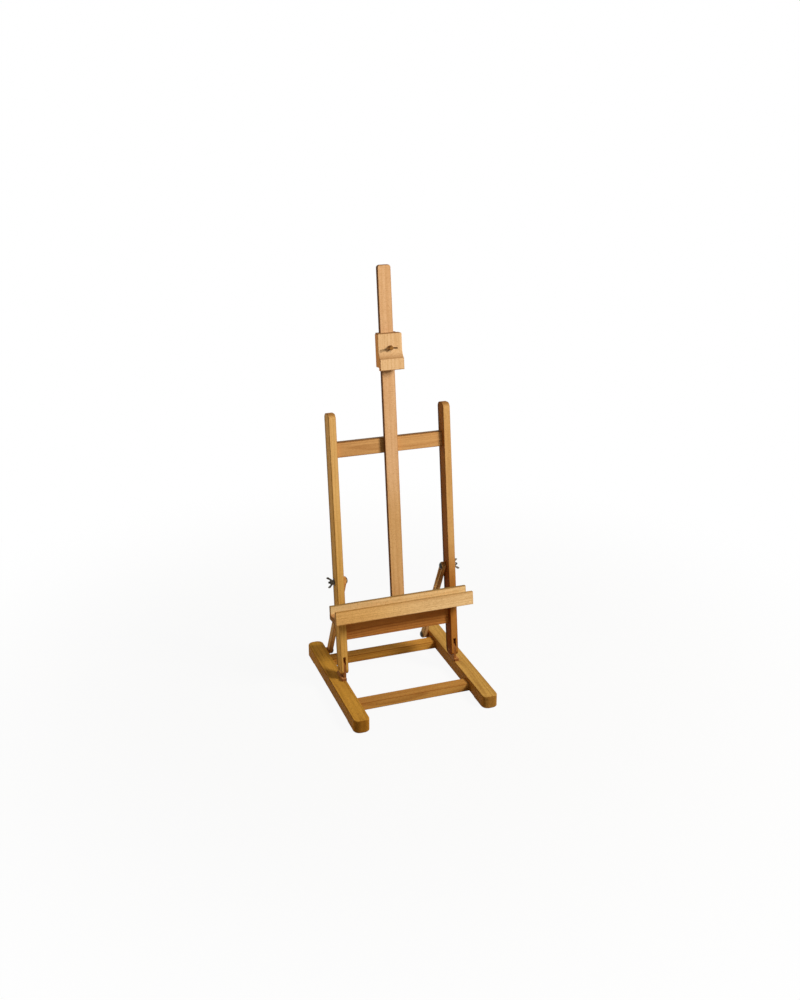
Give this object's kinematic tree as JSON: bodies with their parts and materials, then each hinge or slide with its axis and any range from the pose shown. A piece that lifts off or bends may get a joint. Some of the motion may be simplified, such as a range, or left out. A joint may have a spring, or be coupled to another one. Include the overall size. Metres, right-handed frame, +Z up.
{
  "type": "table easel",
  "caption": "Wooden table easel: flat base frame, tilting panel with a mast, canvas tray and sliding top clamp, held by slotted struts with wing nuts.",
  "frame": {"origin": "middle of the footprint, on the surface that the easel stands on", "axes": "+X to the easel's right-hand side seen from in front, +Y from the front to the back, +Z up; the canvas faces -Y"},
  "size_m": [0.352, 0.4, 1.0029],
  "materials": {
    "beech": "oiled, satin",
    "pale_beech": "oiled, satin",
    "dowel_beech": "plain turned wood",
    "dark_steel": "dark plated, satin",
    "plated_steel": "zinc plated",
    "brass": "polished, slightly dulled"
  },
  "bodies": {
    "base": {"runner_right": "beech", "runner_left": "beech", "base_rail_front": "beech", "base_rail_rear": "beech", "base_dowels": "dowel_beech", "hinge_block_right": "beech", "hinge_block_left": "beech", "strut_pivot_bolts": "dark_steel", "strut_spacers": "dowel_beech", "strut_pivot_washers": "plated_steel"},
    "panel": {"upright_right": "beech", "upright_left": "beech", "hinge_pins": "dowel_beech", "crossbar": "pale_beech", "lower_rail": "pale_beech", "panel_dowels": "dowel_beech", "mast": "pale_beech", "mast_screws": "plated_steel", "tray_floor": "pale_beech", "tray_back": "pale_beech", "tray_front": "pale_beech", "tray_dowels": "dowel_beech", "tray_screws": "plated_steel", "tray_pellets": "dowel_beech", "tilt_bolts": "plated_steel", "tilt_washers": "plated_steel"},
    "strut_right": {"strut_right": "beech"},
    "strut_left": {"strut_left": "beech"},
    "clamp": {"clamp_block": "pale_beech", "clamp_cheeks": "pale_beech", "clamp_keeper": "pale_beech", "clamp_keeper_screws": "plated_steel", "clamp_insert": "brass"},
    "clamp_screw": {"clamp_screw": "brass"},
    "tilt_nut_right": {"tilt_nut_right": "plated_steel"},
    "tilt_nut_left": {"tilt_nut_left": "plated_steel"}
  },
  "joints": [
    {"name": "panel_tilt", "type": "hinge", "parent": "base", "child": "panel", "pos_m": [0, 0.004, 0.054], "axis": [-1, 0, 0], "range_deg": [0, 33]},
    {"name": "strut_swing_right", "type": "hinge", "parent": "base", "child": "strut_right", "pos_m": [0.1267, 0.165, 0.018], "axis": [-1, 0, 0], "range_deg": [0, 21.7]},
    {"name": "strut_swing_left", "type": "hinge", "parent": "base", "child": "strut_left", "pos_m": [-0.1267, 0.165, 0.018], "axis": [-1, 0, 0], "range_deg": [0, 21.7]},
    {"name": "clamp_slide", "type": "slide", "parent": "panel", "child": "clamp", "axis": [0, 0.1219, 0.9925], "range_m": [-0.165, 0.15]},
    {"name": "clamp_screw_turn", "type": "hinge", "parent": "clamp", "child": "clamp_screw", "pos_m": [0, 0.06745, 0.81695], "axis": [0, -0.9925, 0.1219], "continuous": true},
    {"name": "tilt_nut_turn_right", "type": "hinge", "parent": "panel", "child": "tilt_nut_right", "pos_m": [0.1552, 0.03603, 0.26567], "axis": [1, 0, 0], "continuous": true},
    {"name": "tilt_nut_turn_left", "type": "hinge", "parent": "panel", "child": "tilt_nut_left", "pos_m": [-0.1552, 0.03603, 0.26567], "axis": [-1, 0, 0], "continuous": true}
  ],
  "couplings": [
    {"joint": "strut_swing_right", "follows": "panel_tilt", "ratio": 0.656},
    {"joint": "strut_swing_left", "follows": "panel_tilt", "ratio": 0.656}
  ]
}
